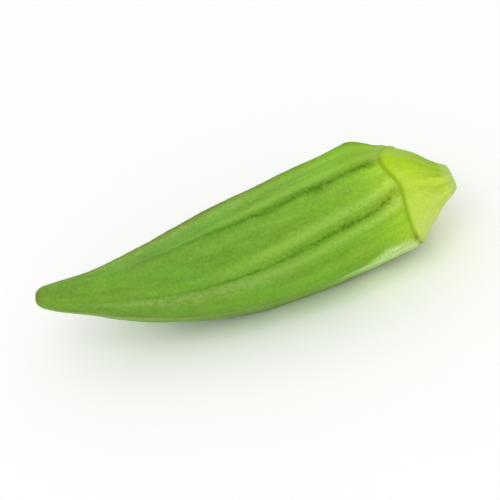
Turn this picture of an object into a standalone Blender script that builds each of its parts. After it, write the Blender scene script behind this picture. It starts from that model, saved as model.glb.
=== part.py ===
"""An okra pod as picked, lying on a flat surface with its pointed end curving up.

One grown body: an eight-ridged wall that tapers to a blunt point, the cap that the calyx left, and a
short cut stub of stalk. The straight part of its axis runs along X, with the stalk at +X. Section angles
are measured about that axis from -Y (the front), through +Z (up) at 90 degrees. The origin is on the
surface that the pod lies on, under the middle of its box.
"""

import math

import bmesh
import bpy
from mathutils import Matrix, Vector

# Size, in metres
POD_LENGTH = 0.075  # along the axis, from the cut stalk to the point
RIDGE_RADIUS = 0.0113  # axis to ridge crest where the pod is widest
STALK_SHIFT = 0.0022  # how far the stalk sits off the axis of the straight part

# Outline: share of the length from the cut stalk, and share of RIDGE_RADIUS
OUTLINE = (
    (0.0, 0.21),  # cut stalk
    (0.03, 0.36),
    (0.06, 0.59),
    (0.09, 0.8),
    (0.112, 0.95),  # rim of the cap
    (0.15, 0.988),
    (0.2, 1.0),  # widest
    (0.33, 1.0),
    (0.44, 0.967),
    (0.55, 0.893),
    (0.65, 0.763),
    (0.74, 0.61),
    (0.81, 0.478),
    (0.875, 0.352),
    (0.94, 0.25),
    (0.975, 0.183),
)
RIM = 0.112  # share of the length where the cap ends and the ribbed wall starts
RIM_LEAN = 0.022  # how far the rim dips towards the point on one side, as a share of the length
RIM_LEAN_TOWARDS = 10.0  # section angle of that side
RIM_LEAN_ENDS = 0.3  # share of the length where the wall no longer leans with the rim
SLOPED_SHOULDER = 0.3  # how far one shoulder falls away, as a share of the radius
SLOPED_SHOULDER_TOWARDS = 138.0  # section angle of that shoulder
SLOPED_SHOULDER_HALF_WIDTH = 80.0  # degrees of section
SLOPED_SHOULDER_ENDS = (0.02, RIM, 0.2)  # shares of the length: starts, is fullest, ends
TIP_START = OUTLINE[-1][0]  # from here the outline closes in a blunt curve
BLUNTNESS = 2.8  # 2 would close it as a quarter ellipse, and more leaves a flatter end

# Ridges: section angle of each crest at the cap, in degrees. The pod lies on the widest gap, the last one
RIDGE_ANGLES = (-63.4, -17.5, 39.5, 75.0, 118.0, 160.0, 201.0, 243.4)
STRAYING_RIDGE = 2  # the one ridge that strays from its angle on its way to the point
STRAYS = ((0.1, 0.22, 8.0), (0.2, 0.7, 11.5))  # shares of the length between which it strays, and degrees
RIB_HEIGHT = 0.022  # how proud a rib stands of the flats, as a share of the radius
RIB_HALF_WIDTH = 9.0  # degrees of section
HOLLOW = 0.006  # how far a flat dips below a straight line between ribs, as a share of the radius
FLATS_BEGIN = (0.0, 0.1)  # shares of the length where the round stalk turns eight-sided
RIBS_BEGIN = (RIM, 0.16)  # shares of the length where the ribs rise
RIDGES_END = (0.8, 1.0)  # shares of the length where the ridges die out at the point
RIDGES_LEFT = 0.35  # share of the ridges' height that is left at the point

# Curve of the axis
BEND = 25.0  # degrees from the stalk to the point
BEND_START = 0.2  # share of the length that is straight
BEND_POWER = 1.6  # above 1, the curve tightens towards the point
BEND_TOWARDS = 130.0  # section angle that the point curves to
SHIFT_ENDS = (0.0, 0.13)  # shares of the length over which the stalk's shift fades out

# Pose: how the pod settles on a flat surface
PITCH = 5.1  # degrees, stalk end up

# Mesh: rings along the pod, and places across each gap between crests
CAP_RINGS = 11
BODY_RINGS = 22
TIP_RINGS = 6
CAP_END = 0.16  # share of the length that the cap's rings cover
GAP_STEPS = (0.0, 0.08, 0.17, 0.3, 0.5, 0.7, 0.83, 0.92)
AXIS_STEPS = 600  # steps along the axis over which its curve is added up

SKIN_COLOUR = (0.19, 0.4, 0.03, 1.0)
SKIN_ROUGHNESS = 0.45
SHARP_ANGLE = 55.0  # degrees: the cut's rim stays crisp, and the ribs are shaded smooth


def ease(low, high, value):
    """0 below low, 1 above high, and an easy curve between."""
    share = min(max((value - low) / (high - low), 0.0), 1.0)
    return share * share * (3.0 - 2.0 * share)


def outline_slopes():
    """A slope at each point of OUTLINE that keeps the curve through the points free of overshoot."""
    runs = [(b[1] - a[1]) / (b[0] - a[0]) for a, b in zip(OUTLINE, OUTLINE[1:])]
    inner = [2.0 * a * b / (a + b) if a * b > 0 else 0.0 for a, b in zip(runs, runs[1:])]
    return runs[:1] + inner + runs[-1:]


SLOPES = outline_slopes()


def crest_radius(share):
    """Distance from the axis to a ridge crest, at a share of the length from the cut stalk."""
    if share >= TIP_START:
        closing = (share - TIP_START) / (1.0 - TIP_START)
        taper = OUTLINE[-1][1] + SLOPES[-1] * (share - TIP_START)
        return RIDGE_RADIUS * taper * max(0.0, 1.0 - closing**BLUNTNESS) ** (1.0 / BLUNTNESS)
    span = next(i for i, point in enumerate(OUTLINE[1:]) if share <= point[0])
    (start, low), (end, high) = OUTLINE[span], OUTLINE[span + 1]
    width = end - start
    t = (share - start) / width
    ends = (1 + 2 * t) * (1 - t) ** 2 * low + t * t * (3 - 2 * t) * high
    leans = t * (1 - t) ** 2 * SLOPES[span] - t * t * (1 - t) * SLOPES[span + 1]
    return RIDGE_RADIUS * (ends + width * leans)


def crests_at(share):
    """Section angles of the crests at a share of the length, and the first again, one turn further on."""
    crests = list(RIDGE_ANGLES)
    crests[STRAYING_RIDGE] -= sum(degrees * ease(start, end, share) for start, end, degrees in STRAYS)
    return crests + [crests[0] + 360.0]


def flat_at(gap, across):
    """Radius of the eight-sided section without its ribs, where 1 is a corner, part way across a gap."""
    half = math.radians(gap) / 2.0
    from_middle = (2.0 * across - 1.0) * half
    return math.cos(half) / math.cos(from_middle) - HOLLOW * (1.0 - (from_middle / half) ** 2)


def rib_at(gap, across):
    """Height of the rib part way across a gap, where 1 is its crest."""
    return 1.0 - ease(0.0, RIB_HALF_WIDTH, gap * min(across, 1.0 - across))


def sloped_shoulder_at(share, angle):
    """How far the shoulder that falls away is below the rest, as a share of the radius."""
    start, fullest, end = SLOPED_SHOULDER_ENDS
    along = ease(start, fullest, share) * (1.0 - ease(fullest, end, share))
    around = abs((angle - SLOPED_SHOULDER_TOWARDS + 180.0) % 360.0 - 180.0)
    return SLOPED_SHOULDER * along * (1.0 - ease(0.0, SLOPED_SHOULDER_HALF_WIDTH, around))


def surface_radius(share, angle, gap, across):
    """Distance from the axis to the skin, at a section angle that lies part way across a gap between crests."""
    fade = 1.0 - (1.0 - RIDGES_LEFT) * ease(*RIDGES_END, share)
    flats = ease(*FLATS_BEGIN, share) * fade * (1.0 - flat_at(gap, across))
    ribs = ease(*RIBS_BEGIN, share) * fade * RIB_HEIGHT * (1.0 - rib_at(gap, across))
    return crest_radius(share) * (1.0 - flats - ribs - sloped_shoulder_at(share, angle))


def section_direction(angle):
    """Unit vector out from the straight part of the axis, at a section angle."""
    turn = math.radians(angle)
    return Vector((0.0, -math.cos(turn), math.sin(turn)))


def bend_at(share):
    """How far the axis has turned, in radians."""
    along = max(0.0, (share - BEND_START) / (1.0 - BEND_START))
    return math.radians(BEND) * along**BEND_POWER


def axis_points():
    """Places along the axis, AXIS_STEPS + 1 of them, evenly spaced from the cut stalk to the point."""
    side = section_direction(BEND_TOWARDS)
    place = Vector((0.0, 0.0, 0.0))
    points = [place]
    for i in range(AXIS_STEPS):
        turn = bend_at((i + 0.5) / AXIS_STEPS)
        ahead = side * math.sin(turn) - Vector((math.cos(turn), 0.0, 0.0))
        place = place + ahead * POD_LENGTH / AXIS_STEPS
        points.append(place)
    return points


AXIS = axis_points()


def axis_at(share):
    index = min(int(share * AXIS_STEPS), AXIS_STEPS - 1)
    place = AXIS[index].lerp(AXIS[index + 1], share * AXIS_STEPS - index)
    return place - section_direction(BEND_TOWARDS) * STALK_SHIFT * (1.0 - ease(*SHIFT_ENDS, share))


def rim_lean(share, angle):
    """How far along the axis a point of the cap or wall leans with the rim, as a share of the length."""
    reach = ease(0.0, RIM, share) * (1.0 - ease(RIM, RIM_LEAN_ENDS, share))
    return RIM_LEAN * reach * math.cos(math.radians(angle - RIM_LEAN_TOWARDS))


def surface_point(share, column):
    """The point of the pod's skin at a share of the length, in a column that follows the crests."""
    ridge, step = divmod(column, len(GAP_STEPS))
    crests = crests_at(share)
    gap = crests[ridge + 1] - crests[ridge]
    angle = crests[ridge] + gap * GAP_STEPS[step]
    bend_axis = Vector((1.0, 0.0, 0.0)).cross(section_direction(BEND_TOWARDS))
    turn = Matrix.Rotation(-bend_at(share), 3, bend_axis)
    centre = axis_at(share + rim_lean(share, angle))
    radius = surface_radius(share, angle, gap, GAP_STEPS[step])
    return centre + turn @ section_direction(angle) * radius


def ring_shares():
    """Shares of the length at which the mesh has a ring: close together on the cap and at the point."""
    cap = [CAP_END * i / CAP_RINGS for i in range(CAP_RINGS)]
    body = [CAP_END + (TIP_START - CAP_END) * i / BODY_RINGS for i in range(BODY_RINGS)]
    quarter = [math.sin(math.pi / 2.0 * i / TIP_RINGS) for i in range(TIP_RINGS)]
    return cap + body + [TIP_START + (1.0 - TIP_START) * part for part in quarter]


def shape_pod(mesh):
    """Moves a globe's points to the pod: its poles go to the cut and the point, and its rings between."""
    shares = ring_shares()
    columns = len(RIDGE_ANGLES) * len(GAP_STEPS)
    globe = bmesh.new()
    bmesh.ops.create_uvsphere(globe, u_segments=columns, v_segments=len(shares) + 1, radius=1.0)
    for vert in globe.verts:
        x, y, z = vert.co
        ring = round(math.acos(max(-1.0, min(1.0, z))) / math.pi * (len(shares) + 1)) - 1
        column = round(math.atan2(y, x) / math.tau * columns) % columns
        if ring < 0:
            vert.co = axis_at(0.0)
        elif ring == len(shares):
            vert.co = axis_at(1.0)
        else:
            vert.co = surface_point(shares[ring], column)
    bmesh.ops.recalc_face_normals(globe, faces=globe.faces)
    globe.to_mesh(mesh)
    globe.free()


def settle(mesh):
    """Turns the pod to its resting pose and puts the origin under the middle of its box."""
    mesh.transform(Matrix.Rotation(math.radians(-PITCH), 4, "Y"))
    places = [vert.co for vert in mesh.vertices]
    low = Vector(min(place[i] for place in places) for i in range(3))
    high = Vector(max(place[i] for place in places) for i in range(3))
    mesh.transform(Matrix.Translation((-(low.x + high.x) / 2, -(low.y + high.y) / 2, -low.z)))


def skin_material():
    material = bpy.data.materials.new("okra_skin")
    material.use_nodes = True
    shader = material.node_tree.nodes["Principled BSDF"]
    shader.inputs["Base Color"].default_value = SKIN_COLOUR
    shader.inputs["Roughness"].default_value = SKIN_ROUGHNESS
    shader.inputs["Metallic"].default_value = 0.0
    return material


def build():
    for obj in list(bpy.data.objects):
        bpy.data.objects.remove(obj)
    collection = bpy.data.collections.new("okra_pod")
    bpy.context.scene.collection.children.link(collection)
    mesh = bpy.data.meshes.new("okra_pod")
    shape_pod(mesh)
    settle(mesh)
    mesh.shade_smooth()
    mesh.set_sharp_from_angle(angle=math.radians(SHARP_ANGLE))
    mesh.materials.append(skin_material())
    collection.objects.link(bpy.data.objects.new("okra_pod", mesh))


build()
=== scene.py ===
"""Looks of one okra pod on a pale floor: a finely shaped skin, its short hairs, materials, light, camera.

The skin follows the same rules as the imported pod: an outline and an eight-ridged section along a bent
axis. Section angles are measured about the axis from the front (-Y), through up (+Z) at 90 degrees.
Above and below a ridge mean at greater and at smaller section angles, and all angles and widths around
the section are in degrees. Shares run along the axis from the cut stalk, 0, to the point, 1. Lengths
are in metres, apart from the noise and dots of the skin's material, which are in millimetres.
"""

import math

import bpy
import numpy as np
from mathutils import Matrix, Vector


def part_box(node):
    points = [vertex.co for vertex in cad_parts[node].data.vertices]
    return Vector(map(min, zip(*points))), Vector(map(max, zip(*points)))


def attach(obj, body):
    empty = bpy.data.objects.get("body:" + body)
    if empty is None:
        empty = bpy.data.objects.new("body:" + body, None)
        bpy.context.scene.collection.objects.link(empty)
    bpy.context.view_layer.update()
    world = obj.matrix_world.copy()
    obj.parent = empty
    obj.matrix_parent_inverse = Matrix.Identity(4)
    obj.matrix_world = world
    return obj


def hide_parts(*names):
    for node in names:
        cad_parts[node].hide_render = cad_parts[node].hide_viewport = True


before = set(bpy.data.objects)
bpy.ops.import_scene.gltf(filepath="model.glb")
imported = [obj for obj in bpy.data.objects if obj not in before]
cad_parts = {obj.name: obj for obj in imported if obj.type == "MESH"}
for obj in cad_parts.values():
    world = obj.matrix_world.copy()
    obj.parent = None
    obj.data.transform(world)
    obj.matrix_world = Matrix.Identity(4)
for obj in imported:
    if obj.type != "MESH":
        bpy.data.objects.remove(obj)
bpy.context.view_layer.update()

TAU = 2.0 * math.pi

# The pod as packed
POD_LENGTH = 0.075
RIDGE_RADIUS = 0.0113
STALK_SHIFT = 0.0022
OUTLINE = (
    (0.0, 0.21),
    (0.03, 0.36),
    (0.06, 0.59),
    (0.09, 0.8),
    (0.112, 0.95),
    (0.15, 0.988),
    (0.2, 1.0),
    (0.33, 1.0),
    (0.44, 0.967),
    (0.55, 0.893),
    (0.65, 0.763),
    (0.74, 0.61),
    (0.81, 0.478),
    (0.875, 0.352),
    (0.94, 0.25),
    (0.975, 0.183),
)
TIP_START = OUTLINE[-1][0]
BLUNTNESS = 2.8
RIM = 0.112
RIM_LEAN, RIM_LEAN_TOWARDS, RIM_LEAN_ENDS = 0.022, 10.0, 0.3
SHOULDER, SHOULDER_TOWARDS, SHOULDER_HALF_WIDTH = 0.3, 138.0, 80.0
SHOULDER_ENDS = (0.02, RIM, 0.2)
RIDGE_ANGLES = (-63.4, -17.5, 39.5, 75.0, 118.0, 160.0, 201.0, 243.4)
STRAYING_RIDGE, STRAYS = 2, ((0.1, 0.22, 8.0), (0.2, 0.7, 11.5))
RIB_HEIGHT, RIB_HALF_WIDTH, HOLLOW = 0.022, 9.0, 0.006
FLATS_BEGIN, RIBS_BEGIN = (0.0, 0.1), (RIM, 0.16)
RIDGES_END, RIDGES_LEFT = (0.8, 1.0), 0.35
BEND, BEND_START, BEND_POWER, BEND_TOWARDS = 25.0, 0.2, 1.6, 130.0
SHIFT_ENDS = (0.0, 0.13)
PITCH = 5.1

# Grid of the skin
SEED = 7
GAP_COLUMNS = 36  # mesh columns between two crests
WALL_ROWS = 316  # mesh rows from the cut's edge to the point
CUT_ROWS = 10  # mesh rows across the cut face
CREST_CROWDING = 0.45  # above 0, columns stand closer together beside the crests
ROW_CROWDING = ((RIM, 0.018, 2.5), (0.0, 0.02, 1.5), (1.0, 0.02, 4.0))  # share, width and extra density
WANDER, WANDER_GROWS = 1.1, (RIM, RIM + 0.05)  # how far the ridges stray from straight lines
TUBE_RADIUS = 0.006  # of the even tube that the cap's wrinkles and streaks are laid on

# Features of the ridges: a tuple of eight has one value for each ridge, in the order of RIDGE_ANGLES.
# Each ridge has a fine groove along its crest, darkened with painted shade
GROOVE_WIDTHS = (2.3, 2.3, 2.8, 3.6, 2.5, 2.5, 2.5, 2.3)
GROOVE_STRENGTHS = (0.7, 0.35, 0.9, 1.0, 0.8, 0.9, 0.9, 0.7)
GROOVE_STARTS = (0.008, 0.012, 0.022, 0.007, 0.008, 0.012, 0.018, 0.01)  # shares past the cap's edge
GROOVE_OPENS, GROOVE_FADES = (0.0, 0.022), (0.4, 0.9)  # shares past its start, and of the length
GROOVE_SPREADS = (0.5, 1.6)  # least and most of its width that a groove may have at one place
GROOVE_DEPTH = 0.00024
# Some have a strip of painted shade above the groove, over a shallow hollow
SHADE_STRENGTHS = (0.0, 0.2, 0.3, 1.0, 0.2, 0.5, 0.3, 0.0)
SHADE_WIDTH, SHADE_DEPTH = 11.0, 0.00012
SHADE_OPENS, SHADE_FADES = (0.008, 0.03), (0.3, 0.7)  # shares past the cap's edge, and of the length
# The groove lies between two paler bands, painted highlights where the crests catch light. A strip of
# painted shade moves the band above it out, and later back
BAND_OFFSET, BAND_WIDTH = 10.0, 5.3  # from the groove to the middle of a band, and its half width
BAND_MOVED_OUT, BAND_MOVED_BACK, BAND_MOVES_BACK = 4.0, 10.0, (0.35, 0.65)
BAND_OPENS = (0.0, 0.01)  # shares past the cap's edge
BAND_FADES, BAND_FADE = (0.4, 0.7), 0.8  # shares of the length, and how much it fades
BAND_STRENGTHS = (  # below and above each ridge's groove
    (0.5, 0.5),
    (0.5, 0.2),
    (1.0, 1.0),
    (0.35, 0.8),
    (0.7, 0.7),
    (0.6, 0.4),
    (0.7, 0.6),
    (0.5, 0.5),
)
# A downy strip lies below each ridge
FUZZ_STRENGTHS = (0.3, 0.7, 1.0, 0.2, 0.8, 0.6, 0.3, 0.3)
FUZZ_OFFSET, FUZZ_WIDTH = 10.0, 11.0
FUZZ_STARTS, FUZZ_ENDS = (0.36, 0.5), (0.72, 0.92)
# The crests of some are browned towards the point
DRIED_STRENGTHS = (0.2, 0.45, 0.0, 0.0, 1.0, 0.3, 0.0, 0.2)
DRIED_WIDTH, DRIED_STARTS = 4.5, (0.25, 0.55)

# Crease around the cap's edge, with small brown scars where it crosses the ridges
CREASE_OFFSETS = (0.004, 0.007, -0.003, 0.022, -0.003, -0.004, 0.004, 0.0)  # shares, one for each ridge
CREASE_MIDDLE, CREASE_WIDTH = 0.0015, 0.0064  # shares past the cap's edge
CREASE_DEPTH = 0.00018
SCAR_WIDTH = 5.0
CAP_ENDS = (-0.003, 0.002)  # shares past the cap's edge

# Sides of the pod
TOP_SIDE_ANGLE = 95.0  # section angle of the top side: painted shade darkens it beside the cap, and painted bounce light pales the side away from it
PALE_TOWARDS, PALE_HALF_WIDTH = -45.0, 28.0  # a pale patch beside the cap, painted bounce light from the floor
PALE_NARROWS, PALE_NARROWING = (0.2, 0.36), 16.0
PALE_FADES, PALE_FRAYED = (0.23, 0.38), 0.02
PALE_RAGGED = 2.0  # how far its edge wanders to both sides
PALE_EDGE, PALE_EDGE_BENEATH = 8.0, 20.0  # how softly it ends, on the pod's side and underneath
UPPER_ANGLE, BENEATH_FROM, BENEATH_GROWS = 60.0, 120.0, 20.0  # section angle, and degrees away from it
UNDERSIDE_BOUNCE_LIGHT = 0.15  # how pale the whole underside is painted: painted bounce light from the floor

# Heights of the fine relief, which ripples() and bumps make
STREAK_HEIGHT, SWELL_HEIGHT, PORE_HEIGHT = 0.000028, 0.00008, 0.000012
CAP_WRINKLE_HEIGHT, CAP_SWELL_HEIGHT, CAP_PORE_HEIGHT = 0.00005, 0.00006, 0.00001
CAP_RING_HEIGHT, CAP_RING_SPACING = 0.000022, 0.0105  # the spacing is a share
CAP_LIP_HEIGHT, CAP_LIP_MIDDLE, CAP_LIP_WIDTH = 0.00012, -0.008, 0.005  # shares past the cap's edge
CUT_PIT, CUT_DISH, CUT_LIP, CUT_GRAIN = 0.0003, 0.0002, 0.00012, 0.00004

# Places in the UV map
DISC_MIDDLE, DISC_RADIUS = 0.07, 0.05
WALL_CORNER, WALL_SIZE = (0.01, 0.15), (0.98, 0.84)

# Hairs
HAIRS = 5000
HAIR_LENGTHS = (0.00016, 0.00042)
HAIR_RADIUS = 0.000012
HAIR_RISES, HAIR_LEAN, HAIR_SWAY = (0.35, 1.0), 0.6, 0.35  # outwards, towards the point, and sideways
HAIR_PROUD = 0.00025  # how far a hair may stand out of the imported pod's box
MORE_ON_BANDS, MORE_ON_DOWN, FEWER_ON_CAP = 3.0, 4.0, 0.93
LOWEST_ROOT, LOWEST_TIP = 0.0006, 0.0002  # above the floor
HAIR_FACES = ((0, 1, 3), (1, 2, 3), (2, 0, 3), (2, 1, 0))  # three corners at the foot, then the tip

# View and light
VIEW_TURN, VIEW_RISE, VIEW_ROLL = -8.0, 40.0, 16.5
VIEW_WIDTH = 0.086  # what the frame spans at the pod
LENS, SENSOR = 180.0, 36.0  # millimetres
FLOOR_HALF = 1.5
WORLD_STRENGTH = 0.92
LAMP_FROM_POD, LAMP_SIZE, LAMP_POWER = (-0.25, -0.35, 0.8), 0.6, 1.4


def ease(low, high, value):
    """0 below low, 1 above high, and an easy curve between."""
    share = np.clip((value - low) / (high - low), 0.0, 1.0)
    return share * share * (3.0 - 2.0 * share)


def bump(middle, width, value):
    """A soft hump of height 1 at middle."""
    return np.exp(-(((value - middle) / width) ** 2))


def ripples(places, length, seed, count=40):
    """Smooth random relief between about -1 and 1, whose humps are about length apart."""
    random = np.random.default_rng(SEED + seed)
    ways = random.normal(size=(3, count))
    ways *= TAU / (length * random.uniform(0.8, 1.8, count)) / np.linalg.norm(ways, axis=0)
    return np.cos(places @ ways + random.uniform(0.0, TAU, count)).sum(axis=-1) / math.sqrt(count)


def crest_radius(share):
    """Distance from the axis to a ridge crest: a smooth curve through OUTLINE, closed by a blunt point."""
    at, radius = np.array(OUTLINE).T
    runs = np.diff(radius) / np.diff(at)
    steps = np.stack([runs[:-1], runs[1:]])
    turning = steps.prod(axis=0) <= 0.0
    inner = np.where(turning, 0.0, 2.0 * steps.prod(axis=0) / np.where(turning, 1.0, steps.sum(axis=0)))
    slopes = np.concatenate([runs[:1], inner, runs[-1:]])
    span = np.clip(np.searchsorted(at, share, side="left") - 1, 0, len(at) - 2)
    width = at[span + 1] - at[span]
    t = (share - at[span]) / width
    ends = (1 + 2 * t) * (1 - t) ** 2 * radius[span] + t * t * (3 - 2 * t) * radius[span + 1]
    leans = t * (1 - t) ** 2 * slopes[span] - t * t * (1 - t) * slopes[span + 1]
    tip = share - TIP_START
    closing = np.clip(tip / (1.0 - TIP_START), 0.0, 1.0)
    point = (radius[-1] + slopes[-1] * tip) * (1.0 - closing**BLUNTNESS) ** (1.0 / BLUNTNESS)
    return RIDGE_RADIUS * np.where(share >= TIP_START, point, ends + width * leans)


def crests_at(share):
    """Section angles of the crests along a last axis, and the first again, one turn further on."""
    crests = np.array(RIDGE_ANGLES + (RIDGE_ANGLES[0] + 360.0,)) + np.zeros(share.shape + (1,))
    for start, end, degrees in STRAYS:
        crests[..., STRAYING_RIDGE] -= degrees * ease(start, end, share)
    return crests


def away_from(angle, middle):
    return np.abs((angle - middle + 180.0) % 360.0 - 180.0)


def base_radius(share, angle, gap, across):
    """Distance from the axis to the skin before the fine relief, part way across a gap between crests."""
    half = np.radians(gap) / 2.0
    from_middle = (2.0 * across - 1.0) * half
    flat = np.cos(half) / np.cos(from_middle) - HOLLOW * (1.0 - (from_middle / half) ** 2)
    rib = 1.0 - ease(0.0, RIB_HALF_WIDTH, gap * np.minimum(across, 1.0 - across))
    start, fullest, end = SHOULDER_ENDS
    along = ease(start, fullest, share) * (1.0 - ease(fullest, end, share))
    around = 1.0 - ease(0.0, SHOULDER_HALF_WIDTH, away_from(angle, SHOULDER_TOWARDS))
    fade = 1.0 - (1.0 - RIDGES_LEFT) * ease(*RIDGES_END, share)
    flats = ease(*FLATS_BEGIN, share) * fade * (1.0 - flat)
    ribs = ease(*RIBS_BEGIN, share) * fade * RIB_HEIGHT * (1.0 - rib)
    return crest_radius(share) * (1.0 - flats - ribs - SHOULDER * along * around)


def out_at(angle):
    turn = np.radians(angle)
    return np.stack([np.zeros_like(turn), -np.cos(turn), np.sin(turn)], axis=-1)


BEND_SIDE = out_at(np.array(BEND_TOWARDS))


def bend_at(share):
    """How far the axis has turned, in radians."""
    return math.radians(BEND) * np.clip((share - BEND_START) / (1.0 - BEND_START), 0.0, None) ** BEND_POWER


def axis_at(share):
    """Place of the axis."""
    steps = np.linspace(0.0, 1.0, 1201)
    turn = bend_at((steps[1:] + steps[:-1]) / 2.0)
    ahead = np.sin(turn)[:, None] * BEND_SIDE - np.cos(turn)[:, None] * np.array([1.0, 0.0, 0.0])
    line = np.concatenate([np.zeros((1, 3)), np.cumsum(ahead, axis=0) * POD_LENGTH / len(turn)])
    place = np.stack([np.interp(share, steps, line[:, i]) for i in range(3)], axis=-1)
    return place - BEND_SIDE * (STALK_SHIFT * (1.0 - ease(*SHIFT_ENDS, share)))[..., None]


def turned_out(share, angle):
    """Direction out from the bent axis."""
    out = out_at(angle)
    side = (out @ BEND_SIDE)[..., None] * BEND_SIDE
    turn = bend_at(share)[..., None]
    forward = np.array([1.0, 0.0, 0.0])
    return out - side + np.cos(turn) * side + np.sin(turn) * (out @ BEND_SIDE)[..., None] * forward


def grid_normals(places):
    """Outward unit normals of a grid of rows along the pod and columns around it."""
    along = np.gradient(places, axis=0)
    around = np.roll(places, -1, axis=1) - np.roll(places, 1, axis=1)
    normal = np.cross(around, along)
    normal /= np.maximum(np.linalg.norm(normal, axis=-1, keepdims=True), 1e-12)
    return normal


def rows_of_shares():
    """Shares of the wall's rows, closest together at the cut's edge, the cap's rim and the point."""
    fine = np.linspace(0.0, 1.0, 4001)
    density = 1.0
    for middle, width, extra in ROW_CROWDING:
        density = density + extra * bump(middle, width, fine)
    reached = np.concatenate([[0.0], np.cumsum((density[1:] + density[:-1]) / 2.0)])
    return np.interp(np.linspace(0.0, 1.0, WALL_ROWS + 1), reached / reached[-1], fine)


class Skin:
    """A grid over the whole pod: its first row is the middle of the cut face, its last row the point.

    share: along the axis. out: from the axis, 0, to the skin, 1. angle: section angle. gap, across:
    degrees between the ridge at or below a place and the next one, and how far across it is. above,
    below: degrees above the one ridge and below the other. from_edge: share past the cap's edge.
    straight: place if the pod's axis were straight, along Z. ring: the same on an even tube.
    """

    def __init__(self):
        self.rows = CUT_ROWS + WALL_ROWS + 1
        self.columns = len(RIDGE_ANGLES) * GAP_COLUMNS
        out = np.concatenate([np.linspace(0.0, 0.95, CUT_ROWS), np.ones(WALL_ROWS + 1)])
        share = np.concatenate([np.zeros(CUT_ROWS), rows_of_shares()])
        self.share = np.repeat(share[:, None], self.columns, axis=1)
        self.out = np.repeat(out[:, None], self.columns, axis=1)
        self.on_cut = self.out < 1.0
        step = np.arange(GAP_COLUMNS) / GAP_COLUMNS
        step = step - CREST_CROWDING * np.sin(TAU * step) / TAU
        self.across = np.tile(step, (self.rows, len(RIDGE_ANGLES)))
        self.lower = np.repeat(np.arange(len(RIDGE_ANGLES)), GAP_COLUMNS)
        self.upper = (self.lower + 1) % len(RIDGE_ANGLES)
        crests = crests_at(self.share)
        low, high = (
            np.take_along_axis(crests, numbers[None, :, None], axis=-1)[..., 0]
            for numbers in (self.lower, self.lower + 1)
        )
        self.gap = high - low
        self.above, self.below = self.gap * self.across, self.gap * (1.0 - self.across)
        self.angle = low + self.above
        self.from_edge = self.share - RIM - self.between_ridges(CREASE_OFFSETS)
        self.ring = self.straight_place(TUBE_RADIUS)
        self.straight = self.straight_place(crest_radius(self.share) * self.out)
        stray = ripples(self.straight * (0.6, 0.6, 1.0), 0.028, 1)
        self.angle = self.angle - WANDER * ease(*WANDER_GROWS, self.share) * stray

    def straight_place(self, reach):
        """Place at this distance from a straight axis."""
        turn = np.radians(self.angle)
        return np.stack([np.cos(turn) * reach, np.sin(turn) * reach, self.share * POD_LENGTH], axis=-1)

    def between_ridges(self, values):
        """Values, one for each ridge, blended from ridge to ridge."""
        values = np.array(values)
        low, high = values[self.lower], values[self.upper]
        return low + (high - low) * ease(0.0, 1.0, self.across)

    def beside_ridges(self, *features):
        """For the ridge at or below a place, then the next one: degrees from it, and its features."""
        for degrees, numbers in ((self.above, self.lower), (self.below, self.upper)):
            yield degrees, *(np.array(values)[numbers] for values in features)


def groove_mask(skin):
    """The groove along each crest, cut into the relief and darkened with painted shade. Its width varies,
    and is greatest near the cap.
    """
    spread = 0.8 + 0.5 * bump(0.18, 0.1, skin.share) + 0.3 * ripples(skin.straight, 0.004, 9)
    spread = np.clip(spread, *GROOVE_SPREADS)
    groove = 0.0
    ridges = skin.beside_ridges(GROOVE_WIDTHS, GROOVE_STRENGTHS, GROOVE_STARTS)
    for degrees, width, strength, start in ridges:
        opened = ease(*GROOVE_OPENS, skin.from_edge - start)
        groove = groove + bump(0.0, width * spread, degrees) * strength * opened
    return groove * (1.0 - ease(*GROOVE_FADES, skin.share))


def shade_mask(skin):
    """The strip of painted shade above some of the grooves, over a shallow hollow in the relief."""
    strip = (1.0 - ease(0.0, SHADE_WIDTH, skin.above)) * np.array(SHADE_STRENGTHS)[skin.lower]
    return strip * (1.0 - ease(*SHADE_FADES, skin.share)) * ease(*SHADE_OPENS, skin.from_edge)


def band_highlight_mask(skin):
    """The paler bands on both sides of each groove: painted highlights where the crests catch light."""
    moved = BAND_MOVED_OUT - BAND_MOVED_BACK * ease(*BAND_MOVES_BACK, skin.share)
    offset = BAND_OFFSET + np.array(SHADE_STRENGTHS)[skin.lower] * moved
    below, above = np.array(BAND_STRENGTHS).T
    band = bump(offset, BAND_WIDTH, skin.above) * above[skin.lower]
    band += bump(BAND_OFFSET, BAND_WIDTH, skin.below) * below[skin.upper]
    return band * ease(*BAND_OPENS, skin.from_edge) * (1.0 - BAND_FADE * ease(*BAND_FADES, skin.share))


def fuzz_mask(skin):
    """The downy strip below each ridge."""
    fuzz = bump(FUZZ_OFFSET, FUZZ_WIDTH, skin.below) * np.array(FUZZ_STRENGTHS)[skin.upper]
    return fuzz * ease(*FUZZ_STARTS, skin.share) * (1.0 - ease(*FUZZ_ENDS, skin.share))


def dried_mask(skin):
    """The browned crests."""
    sides = skin.beside_ridges(DRIED_STRENGTHS)
    dried = sum(bump(0.0, DRIED_WIDTH, degrees) * strength for degrees, strength in sides)
    return dried * ease(*DRIED_STARTS, skin.share)


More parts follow.
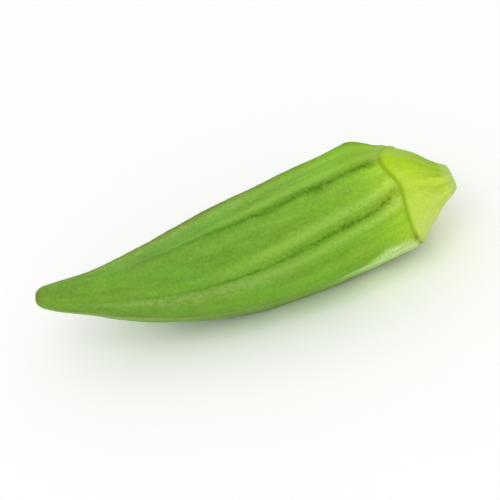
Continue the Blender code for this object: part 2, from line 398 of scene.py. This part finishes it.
def painted_bounce_mask(skin, lower_side):
    """Painted bounce light from the floor: a pale patch on the lower side beside the cap, with uneven
    edges, and a slight paleness over the whole underside.
    """
    reach = PALE_HALF_WIDTH - PALE_NARROWING * ease(*PALE_NARROWS, skin.share)
    reach = reach + PALE_RAGGED * ripples(skin.straight, 0.005, 10)
    beneath = ease(0.0, BENEATH_GROWS, away_from(skin.angle, UPPER_ANGLE) - BENEATH_FROM)
    softness = PALE_EDGE + (PALE_EDGE_BENEATH - PALE_EDGE) * beneath
    past_edge = away_from(skin.angle, PALE_TOWARDS) - reach + PALE_RAGGED
    patch = 1.0 - ease(0.0, 1.0, past_edge / softness)
    frayed = skin.share + PALE_FRAYED * ripples(skin.straight, 0.003, 11)
    patch = patch * (1.0 - ease(*PALE_FADES, frayed))
    return np.maximum(patch, UNDERSIDE_BOUNCE_LIGHT * ease(0.6, 0.9, lower_side)) * ease(0.0, 0.003, skin.from_edge)


def masks_of(skin):
    """Where the skin has each feature, from 0 to 1: the relief and the colours both follow these.

    Sharp is 1 where the features are fresh, and less in scattered worn places.
    """
    sharp = np.clip(0.9 + 0.2 * ripples(skin.straight, 0.006, 2), 0.55, 1.0)
    lower_side = 0.5 - 0.5 * np.cos(np.radians(skin.angle - TOP_SIDE_ANGLE))
    crease = bump(CREASE_MIDDLE, CREASE_WIDTH, skin.from_edge)
    on_crests = bump(0.0, SCAR_WIDTH, skin.above) + bump(0.0, SCAR_WIDTH, skin.below)
    return {
        "share": skin.share,
        "out": skin.out,
        "fuzz": fuzz_mask(skin),
        "dried": dried_mask(skin) * sharp,
        "lower_side": lower_side,
        # rib: painted highlight in the pale bands beside the grooves
        "rib": band_highlight_mask(skin),
        # groove: cut into the relief, and darkened with painted shade
        "groove": groove_mask(skin) * sharp,
        # shade: painted shade above some grooves, over a shallow hollow
        "shade": shade_mask(skin) * sharp,
        # pale: painted bounce light from the floor, beside the cap and on the underside
        "pale": painted_bounce_mask(skin, lower_side),
        "crease": crease * (0.65 + 0.35 * sharp),
        "scar": crease * on_crests * (1.0 - sharp) * 2.0,
        "cap": 1.0 - ease(*CAP_ENDS, skin.from_edge),
        "cut": np.where(skin.on_cut, 1.0, 0.0),
    }


def wall_relief(skin, masks):
    """How far the fine relief stands out from the smooth pod."""
    cap, straight = masks["cap"], skin.straight
    streaks = ripples(straight * (1.0, 1.0, 0.1), 0.0017, 3)
    swells = ripples(straight * (1.0, 1.0, 0.7), 0.0075, 4)
    pores = ripples(straight, 0.0011, 5)
    wrinkles = ripples(skin.ring * (1.0, 1.0, 0.15), 0.0017, 6)
    rings = np.sin(TAU * skin.share / CAP_RING_SPACING + 1.3 * ripples(straight, 0.004, 7))
    wall = STREAK_HEIGHT * streaks + SWELL_HEIGHT * swells * (1.0 - masks["rib"]) + PORE_HEIGHT * pores
    rough_cap = CAP_WRINKLE_HEIGHT * wrinkles + CAP_SWELL_HEIGHT * swells + CAP_PORE_HEIGHT * pores
    relief = (1.0 - cap) * wall
    relief += cap * ease(0.0, 0.02, skin.share) * rough_cap
    relief += cap * CAP_RING_HEIGHT * rings * (1.0 - ease(0.03, 0.07, skin.share))
    relief += CAP_LIP_HEIGHT * bump(CAP_LIP_MIDDLE, CAP_LIP_WIDTH, skin.from_edge)
    relief -= GROOVE_DEPTH * masks["groove"] + SHADE_DEPTH * masks["shade"] + CREASE_DEPTH * masks["crease"]
    return relief * (1.0 - 0.7 * ease(0.97, 1.0, skin.share))


def cut_relief(skin):
    """How far the cut face stands out along the pod: dished, with a small pit and a raised edge."""
    pit = CUT_PIT * (1.0 - ease(0.1, 0.4, skin.out))
    dish = CUT_DISH * (1.0 - ease(0.6, 0.95, skin.out))
    return CUT_LIP * bump(0.9, 0.12, skin.out) + CUT_GRAIN * ripples(skin.straight, 0.0012, 8) - pit - dish


def skin_places(skin, masks):
    """The grid's places on the pod, in its resting pose."""
    lean = RIM_LEAN * ease(0.0, RIM, skin.share) * (1.0 - ease(RIM, RIM_LEAN_ENDS, skin.share))
    lean = lean * np.cos(np.radians(skin.angle - RIM_LEAN_TOWARDS))
    reach = base_radius(skin.share, skin.angle, skin.gap, skin.across) * skin.out
    places = axis_at(skin.share + lean) + turned_out(skin.share, skin.angle) * reach[..., None]
    relief = np.where(skin.on_cut, 0.0, wall_relief(skin, masks))
    places = places + grid_normals(places) * relief[..., None]
    places[..., 0] += np.where(skin.on_cut, cut_relief(skin), 0.0)
    return settled(places)


def settled(places):
    """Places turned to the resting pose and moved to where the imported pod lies."""
    places = places @ np.array(Matrix.Rotation(math.radians(-PITCH), 3, "Y")).T
    low, high = (np.array(corner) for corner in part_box("okra_pod"))
    flat = places.reshape(-1, 3)
    shift = (low + high) / 2.0 - (flat.min(axis=0) + flat.max(axis=0)) / 2.0
    shift[2] = low[2] - flat[:, 2].min()
    return places + shift


def grid_faces(skin):
    """Faces of the grid, which goes round, and whose first and last rows are one point each."""
    grid = 1 + np.arange((skin.rows - 2) * skin.columns).reshape(skin.rows - 2, skin.columns)
    beside = np.roll(grid, -1, axis=1)
    last = 1 + grid.size
    quads = np.stack([grid[:-1], beside[:-1], beside[1:], grid[1:]], axis=-1).reshape(-1, 4)
    faces = [(0, b, a) for a, b in zip(grid[0].tolist(), beside[0].tolist())]
    faces += quads.tolist()
    return faces + [(last, a, b) for a, b in zip(grid[-1].tolist(), beside[-1].tolist())]


def per_point(values):
    """Grid values in the order of the mesh's points."""
    inner = values[1:-1].reshape((-1,) + values.shape[2:])
    return np.concatenate([values[:1, 0], inner, values[-1:, 0]])


def lay_out_uvs(mesh, skin):
    """A UV map for baking: the wall is unrolled, and the cut face is a disc of its own below it."""
    corners = np.empty(len(mesh.loops), np.int32)
    mesh.loops.foreach_get("vertex_index", corners)
    starts = np.empty(len(mesh.polygons), np.int32)
    mesh.polygons.foreach_get("loop_start", starts)
    face = np.repeat(np.arange(len(starts)), np.diff(np.append(starts, len(corners))))
    column = (corners - 1) % skin.columns
    first = face % skin.columns
    column = np.where(column < first, skin.columns, column)
    at_pole = (corners == 0) | (corners == corners.max())
    around = np.where(at_pole, first + 0.5, column) / skin.columns
    along, reach = per_point(skin.share)[corners], per_point(skin.out)[corners]
    on_cut = face < skin.columns * CUT_ROWS
    turn = TAU * around
    across = DISC_MIDDLE + DISC_RADIUS * reach * np.cos(turn)
    up = DISC_MIDDLE + DISC_RADIUS * reach * np.sin(turn)
    u = np.where(on_cut, across, WALL_CORNER[0] + WALL_SIZE[0] * around)
    v = np.where(on_cut, up, WALL_CORNER[1] + WALL_SIZE[1] * along)
    layer = mesh.uv_layers.new(name="OFBake")
    layer.data.foreach_set("uv", np.stack([u, v], axis=-1).astype(np.float32).ravel())


def make_skin(skin, masks, places):
    mesh = bpy.data.meshes.new("okra_pod_skin")
    mesh.from_pydata(per_point(places).tolist(), [], grid_faces(skin))
    for name, values in masks.items():
        made = mesh.attributes.new(name, "FLOAT", "POINT")
        made.data.foreach_set("value", per_point(values).astype(np.float32))
    for name, values in (("straight_mm", skin.straight), ("ring_mm", skin.ring)):
        made = mesh.attributes.new(name, "FLOAT_VECTOR", "POINT")
        made.data.foreach_set("vector", (per_point(values) * 1000.0).astype(np.float32).ravel())
    lay_out_uvs(mesh, skin)
    mesh.shade_smooth()
    mesh.materials.append(skin_material())
    return shown("okra_pod_skin", mesh)


def shown(name, mesh):
    made = bpy.data.objects.new(name, mesh)
    bpy.context.scene.collection.objects.link(made)
    return made


def hair_spots(skin, masks, places, random):
    """Grid points that carry a hair: their places, their normals, and their ways towards the point.

    They are spread by area, closer together on the pale bands and the downy strips, and sparse on the cap.
    """
    normals = grid_normals(places)
    forward = np.gradient(places, axis=0)
    along = np.linalg.norm(forward, axis=-1)
    around = np.linalg.norm(np.roll(places, -1, axis=1) - np.roll(places, 1, axis=1), axis=-1)
    hairy = 1.0 + MORE_ON_BANDS * masks["rib"] + MORE_ON_DOWN * masks["fuzz"]
    wanted = along * around * hairy * (1.0 - FEWER_ON_CAP * masks["cap"])
    wanted[skin.on_cut] = 0.0
    wanted[places[..., 2] < LOWEST_ROOT] = 0.0
    chosen = random.choice(wanted.size, HAIRS, replace=False, p=(wanted / wanted.sum()).ravel())
    forward /= np.maximum(along[..., None], 1e-12)
    return (part.reshape(-1, 3)[chosen] for part in (places, normals, forward))


def make_hairs(skin, masks, places):
    """Short pointed hairs that lean towards the point of the pod, all in one mesh."""
    random = np.random.default_rng(SEED)
    root, normal, forward = hair_spots(skin, masks, places, random)
    side = np.cross(normal, forward)
    rise = random.uniform(*HAIR_RISES, HAIRS)[:, None]
    sway = random.normal(0.0, HAIR_SWAY, HAIRS)[:, None]
    way = normal * rise + forward * HAIR_LEAN + side * sway
    way /= np.linalg.norm(way, axis=1, keepdims=True)
    tip = root + way * random.uniform(*HAIR_LENGTHS, HAIRS)[:, None]
    low, high = (np.array(corner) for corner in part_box("okra_pod"))
    inside = (tip > low - HAIR_PROUD).all(axis=1) & (tip < high + HAIR_PROUD).all(axis=1)
    kept = inside & (tip[:, 2] > LOWEST_TIP)
    root, normal, forward, side, tip = (part[kept] for part in (root, normal, forward, side, tip))
    foot = root - normal * HAIR_RADIUS
    turns = TAU * np.arange(3) / 3.0
    ring = [foot + HAIR_RADIUS * (forward * math.cos(turn) + side * math.sin(turn)) for turn in turns]
    points = np.stack(ring + [tip], axis=1).reshape(-1, 3)
    faces = (4 * np.arange(len(tip))[:, None, None] + np.array(HAIR_FACES)).reshape(-1, 3)
    mesh = bpy.data.meshes.new("okra_hairs")
    mesh.from_pydata(points.tolist(), [], faces.tolist())
    mesh.materials.append(hair_material())
    return shown("okra_hairs", mesh)


def colour(red, green, blue):
    """A screen colour, each channel 0 to 255, as the linear colour that a shader takes."""
    channels = [value / 255.0 for value in (red, green, blue)]
    return tuple(c / 12.92 if c <= 0.04045 else ((c + 0.055) / 1.055) ** 2.4 for c in channels) + (1.0,)


# Wall: share of the length, and colour
WALL_COLOURS = (
    (0.12, colour(157, 193, 48)),
    (0.15, colour(151, 191, 42)),
    (0.2, colour(134, 181, 42)),
    (0.3, colour(119, 171, 44)),
    (0.5, colour(110, 163, 45)),
    (0.7, colour(106, 155, 46)),
    (0.85, colour(110, 159, 48)),
    (1.0, colour(108, 156, 48)),
)
# Cap: how far round from the top side, and colour: paler towards the underside, painted bounce light from
# the floor
CAP_COLOURS = (
    (0.0, colour(153, 190, 20)),
    (0.05, colour(170, 206, 34)),
    (0.13, colour(186, 219, 52)),
    (0.5, colour(193, 219, 78)),
    (0.85, colour(193, 212, 106)),
)
# Cut face: share of the way out from its middle, and colour
CUT_COLOURS = (
    (0.0, colour(150, 170, 90)),
    (0.3, colour(188, 204, 128)),
    (0.6, colour(206, 220, 150)),
    (0.82, colour(176, 200, 110)),
    (0.97, colour(160, 165, 90)),
)
# Bands beside the grooves, painted highlights: share of the length, and colour
BAND_HIGHLIGHT_COLOURS = (
    (0.12, colour(188, 225, 92)),
    (0.2, colour(160, 206, 78)),
    (0.35, colour(150, 194, 72)),
    (0.6, colour(142, 186, 70)),
)
# Features of the wall
# Painted bounce light from the floor
PAINTED_BOUNCE_COLOUR = colour(206, 232, 150)
HAIR_DOT_COLOUR = colour(186, 214, 120)
FUZZ_COLOUR = colour(152, 178, 90)
# Painted shade in the grooves and in the strips above them
GROOVE_SHADE_COLOUR = colour(70, 116, 0)
SPECK_COLOUR = colour(120, 118, 60)
# Painted shade on the top side beside the cap
TOP_SIDE_SHADE_COLOUR = colour(116, 160, 6)
DRIED_COLOUR = colour(116, 104, 54)
TIP_COLOUR = colour(124, 108, 46)
# Features of the crease and the cap
CREASE_COLOUR = colour(138, 176, 12)
SCAR_COLOUR = colour(132, 120, 50)
CAP_STREAK_COLOUR = colour(140, 180, 22)
CAP_PALE_COLOUR = colour(206, 228, 104)
STALK_COLOUR = colour(178, 200, 108)

HAIR_COLOURS = (colour(168, 198, 112), colour(200, 218, 150))
FLOOR_COLOURS = (colour(249, 249, 248), colour(251, 251, 250))
WHITE = (1.0, 1.0, 1.0, 1.0)
DULL = 0.1  # specular level of the skin and the floor


def feed(tree, made, sources):
    """Gives a node's inputs, by name or number, a value or another node's output."""
    for name, source in sources.items():
        if isinstance(source, bpy.types.NodeSocket):
            tree.links.new(source, made.inputs[name])
        else:
            made.inputs[name].default_value = source


def new_tree(name):
    """A material and its node tree."""
    material = bpy.data.materials.new(name)
    material.use_nodes = True
    return material, material.node_tree


def finish_shader(tree, sources):
    feed(tree, tree.nodes["Principled BSDF"], sources)


def node(tree, kind, sources, **settings):
    """A new node with these inputs and settings."""
    made = tree.nodes.new(kind)
    for name, value in settings.items():
        setattr(made, name, value)
    feed(tree, made, sources)
    return made


def read(tree, name, output="Fac"):
    """One of the values that the skin's mesh keeps: a mask, or with output Vector a place."""
    return node(tree, "ShaderNodeAttribute", {}, attribute_name=name).outputs[output]


def maths(tree, operation, first, second):
    return node(tree, "ShaderNodeMath", {0: first, 1: second}, operation=operation).outputs[0]


def times(tree, first, second):
    return maths(tree, "MULTIPLY", first, second)


def stretched(tree, place, factors):
    return node(tree, "ShaderNodeVectorMath", {0: place, 1: factors}, operation="MULTIPLY").outputs[0]


def noise(tree, place, length, detail=2.0):
    """Noise from about 0.2 to 0.8, with humps about length apart."""
    sources = {"Vector": place, "Scale": 1.0 / length, "Detail": detail}
    return node(tree, "ShaderNodeTexNoise", sources).outputs["Fac"]


def over(tree, value, low, high, bottom=0.0, top=1.0):
    """Bottom where value is below low, top above high, and an easy curve between."""
    sources = {"Value": value, "From Min": low, "From Max": high, "To Min": bottom, "To Max": top}
    return node(tree, "ShaderNodeMapRange", sources, interpolation_type="SMOOTHSTEP").outputs["Result"]


def swing(tree, noisy, bottom, top):
    """From bottom to top, as a noise goes through its usual range."""
    return over(tree, noisy, 0.3, 0.7, bottom, top)


def mixed(tree, factor, first, second):
    return node(tree, "ShaderNodeMix", {0: factor, 6: first, 7: second}, data_type="RGBA").outputs[2]


def ramp(tree, value, stops):
    """A run of colours: stops are pairs of a value and its colour."""
    made = node(tree, "ShaderNodeValToRGB", {"Fac": value})
    elements = made.color_ramp.elements
    while len(elements) < len(stops):
        elements.new(0.5)
    for element, (at, shade) in zip(elements, stops):
        element.position = at
        element.color = shade
    return made.outputs["Color"]


def shaded(tree, base, brightness, warmth=0.5):
    """The colour, brighter or darker, and with its hue turned where warmth isn't 0.5."""
    sources = {"Color": base, "Value": brightness, "Hue": warmth}
    return node(tree, "ShaderNodeHueSaturation", sources).outputs["Color"]


def dots(tree, place, apart, share):
    """1 in small scattered dots about apart from each other. Share is a dot's size beside that."""
    cells = node(tree, "ShaderNodeTexVoronoi", {"Vector": place, "Scale": 1.0 / apart})
    return over(tree, cells.outputs["Distance"], share, share * 1.8, 1.0, 0.0)


def wall_green(tree, place, grain):
    """The wall's green: lime beside the cap, paler where bounce light from the floor is painted, streaked
    and mottled.
    """
    base = ramp(tree, read(tree, "share"), WALL_COLOURS)
    # Painted bounce light from the floor, on the pale patch and the underside
    base = mixed(tree, read(tree, "pale"), base, PAINTED_BOUNCE_COLOUR)
    blotches = noise(tree, stretched(tree, place, (1.0, 1.0, 0.4)), 6.0)
    streaks = noise(tree, stretched(tree, place, (1.0, 1.0, 0.1)), 1.3, 3.0)
    brightness = maths(tree, "ADD", swing(tree, blotches, 0.92, 1.06), swing(tree, streaks, -0.09, 0.09))
    brightness = maths(tree, "ADD", brightness, swing(tree, grain, -0.09, 0.09))
    return shaded(tree, base, brightness, swing(tree, blotches, 0.492, 0.506))


def ridges_coloured(tree, place, grain, base):
    """Pale bands of painted highlight, the dots of hair roots, downy strips, ragged grooves in painted
    shade, and a few brown specks.
    """
    # Painted highlight: the pale bands beside the grooves
    band = times(tree, read(tree, "rib"), over(tree, grain, 0.2, 0.6, 0.4, 0.8))
    base = mixed(tree, band, base, ramp(tree, read(tree, "share"), BAND_HIGHLIGHT_COLOURS))
    base = mixed(tree, times(tree, dots(tree, place, 0.75, 0.09), 0.2), base, HAIR_DOT_COLOUR)
    down = over(tree, noise(tree, place, 0.8, 3.0), 0.4, 0.62, 0.1, 0.75)
    base = mixed(tree, times(tree, read(tree, "fuzz"), down), base, FUZZ_COLOUR)
    # Painted shade: the grooves, and the strips above some of them, are darkened
    dark = maths(tree, "MAXIMUM", read(tree, "groove"), times(tree, read(tree, "shade"), 0.9))
    dark = times(tree, dark, over(tree, grain, 0.38, 0.62, 1.12, 0.66))
    base = mixed(tree, dark, base, GROOVE_SHADE_COLOUR)
    on_bands = over(tree, read(tree, "rib"), 0.3, 0.9, 0.0, 0.2)
    return mixed(tree, times(tree, dots(tree, place, 3.1, 0.07), on_bands), base, SPECK_COLOUR)


def top_shade_and_ageing(tree, grain, base):
    """Painted shade in a darker green on the top side beside the cap, browned crests, and a dried point
    with a frayed edge.
    """
    share = read(tree, "share")
    # Painted shade: a darker green on the top side beside the cap
    top_side_shade = over(tree, read(tree, "lower_side"), 0.06, 0.0, 0.0, 0.5)
    top_side_shade = times(tree, top_side_shade, over(tree, share, 0.15, 0.3, 1.0, 0.0))
    base = mixed(tree, top_side_shade, base, TOP_SIDE_SHADE_COLOUR)
    browned = times(tree, read(tree, "dried"), swing(tree, grain, 0.5, 0.9))
    base = mixed(tree, browned, base, DRIED_COLOUR)
    frayed = maths(tree, "ADD", share, swing(tree, grain, -0.006, 0.006))
    return mixed(tree, over(tree, frayed, 0.982, 1.0, 0.0, 0.8), base, TIP_COLOUR)


def wall_colour(tree, place):
    grain = noise(tree, place, 0.55, 4.0)
    base = ridges_coloured(tree, place, grain, wall_green(tree, place, grain))
    return top_shade_and_ageing(tree, grain, base)


def cap_colour(tree, place):
    """Pale lime cap, paler towards the underside with painted bounce light, with pale blotches, streaked
    outwards from a paler stalk on its upper side.
    """
    share, lower_side = read(tree, "share"), read(tree, "lower_side")
    # Painted bounce light: the cap's colour pales from the top side to the underside
    base = ramp(tree, lower_side, CAP_COLOURS)
    ring = read(tree, "ring_mm", "Vector")
    streaks = over(tree, noise(tree, stretched(tree, ring, (1.0, 1.0, 0.13)), 0.9, 2.0), 0.42, 0.56)
    near_stalk = over(tree, share, 0.02, 0.09, 0.8, 0.1)
    near_stalk = times(tree, near_stalk, over(tree, lower_side, 0.2, 0.5, 1.0, 0.3))
    base = mixed(tree, times(tree, streaks, near_stalk), base, CAP_STREAK_COLOUR)
    # Pale blotches, stronger towards the underside: partly the cap's own blotches, partly painted bounce
    # light
    blotches = over(tree, noise(tree, place, 3.5), 0.4, 0.7, 0.1, 0.6)
    base = mixed(tree, times(tree, blotches, over(tree, lower_side, 0.0, 0.4)), base, CAP_PALE_COLOUR)
    base = mixed(tree, over(tree, share, 0.006, 0.028, 0.7, 0.0), base, STALK_COLOUR)
    return shaded(tree, base, swing(tree, noise(tree, place, 0.4, 4.0), 0.95, 1.06))


def cut_colour(tree, place):
    """Cut stalk: a darker pit, a pale middle, and a greener, then dried, edge."""
    base = ramp(tree, read(tree, "out"), CUT_COLOURS)
    return shaded(tree, base, swing(tree, noise(tree, place, 0.45, 4.0), 0.88, 1.1))


def skin_material():
    """Slightly waxy skin that lets a little light through."""
    material, tree = new_tree("okra_skin")
    place = read(tree, "straight_mm", "Vector")
    base = mixed(tree, read(tree, "cap"), wall_colour(tree, place), cap_colour(tree, place))
    base = mixed(tree, times(tree, read(tree, "crease"), 0.85), base, CREASE_COLOUR)
    base = mixed(tree, read(tree, "scar"), base, SCAR_COLOUR)
    base = mixed(tree, read(tree, "cut"), base, cut_colour(tree, place))
    bumps = {"Height": noise(tree, place, 0.22, 3.0), "Strength": 0.5, "Distance": 0.00008}
    surface = {
        "Base Color": base,
        "Roughness": swing(tree, noise(tree, place, 0.5, 3.0), 0.4, 0.58),
        "Normal": node(tree, "ShaderNodeBump", bumps).outputs["Normal"],
        "Subsurface Weight": 0.08,
        "Subsurface Radius": (0.6, 1.0, 0.25),
        "Subsurface Scale": 0.0012,
        "Specular IOR Level": DULL,
    }
    finish_shader(tree, surface)
    return material


def hair_material():
    """Pale hairs, some paler than others."""
    material, tree = new_tree("okra_hair")
    place = node(tree, "ShaderNodeTexCoord", {}).outputs["Object"]
    base = mixed(tree, swing(tree, noise(tree, place, 0.004), 0.0, 1.0), *HAIR_COLOURS)
    finish_shader(tree, {"Base Color": base, "Roughness": 0.5})
    return material


def make_floor():
    """A large pale floor under the pod."""
    half = FLOOR_HALF
    corners = [(-half, -half, 0.0), (half, -half, 0.0), (half, half, 0.0), (-half, half, 0.0)]
    mesh = bpy.data.meshes.new("floor")
    mesh.from_pydata(corners, [], [(0, 1, 2, 3)])
    material, tree = new_tree("floor")
    place = node(tree, "ShaderNodeTexCoord", {}).outputs["Object"]
    base = mixed(tree, noise(tree, place, 0.05), *FLOOR_COLOURS)
    finish_shader(tree, {"Base Color": base, "Roughness": 0.9, "Specular IOR Level": DULL})
    mesh.materials.append(material)
    return shown("floor", mesh)


def light_scene(target):
    """White surroundings, and a large soft lamp above and in front."""
    world = bpy.data.worlds.new("studio")
    bpy.context.scene.world = world
    world.use_nodes = True
    background = world.node_tree.nodes["Background"]
    background.inputs["Color"].default_value = WHITE
    background.inputs["Strength"].default_value = WORLD_STRENGTH
    lamp = bpy.data.lights.new("key", "AREA")
    lamp.size = LAMP_SIZE
    lamp.energy = LAMP_POWER
    made = shown("key", lamp)
    made.location = target + Vector(LAMP_FROM_POD)
    made.rotation_euler = (-Vector(LAMP_FROM_POD)).to_track_quat("-Z", "Y").to_euler()


def place_camera(target):
    """A long lens at the photograph's angle, rolled, with the pod in the middle."""
    turn, rise, roll = (math.radians(angle) for angle in (VIEW_TURN, VIEW_RISE, VIEW_ROLL))
    back = Vector((math.sin(turn) * math.cos(rise), -math.cos(turn) * math.cos(rise), math.sin(rise)))
    level = Vector((math.cos(turn), math.sin(turn), 0.0))
    upright = back.cross(level)
    right = level * math.cos(roll) - upright * math.sin(roll)
    data = bpy.data.cameras.new("camera")
    data.lens = LENS
    data.sensor_width = SENSOR
    camera = shown("camera", data)
    distance = VIEW_WIDTH * LENS / SENSOR
    axes = Matrix((right, back.cross(right), back)).transposed()
    camera.matrix_world = Matrix.Translation(target + back * distance) @ axes.to_4x4()
    bpy.context.scene.camera = camera


def build():
    skin = Skin()
    masks = masks_of(skin)
    places = skin_places(skin, masks)
    pod = make_skin(skin, masks, places)
    hairs = make_hairs(skin, masks, places)
    for piece in (pod, hairs):
        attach(piece, "root")
    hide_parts("okra_pod")
    make_floor()
    low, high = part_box("okra_pod")
    target = (low + high) / 2.0
    light_scene(target)
    place_camera(target)
    bpy.context.scene.view_settings.view_transform = "Standard"


build()
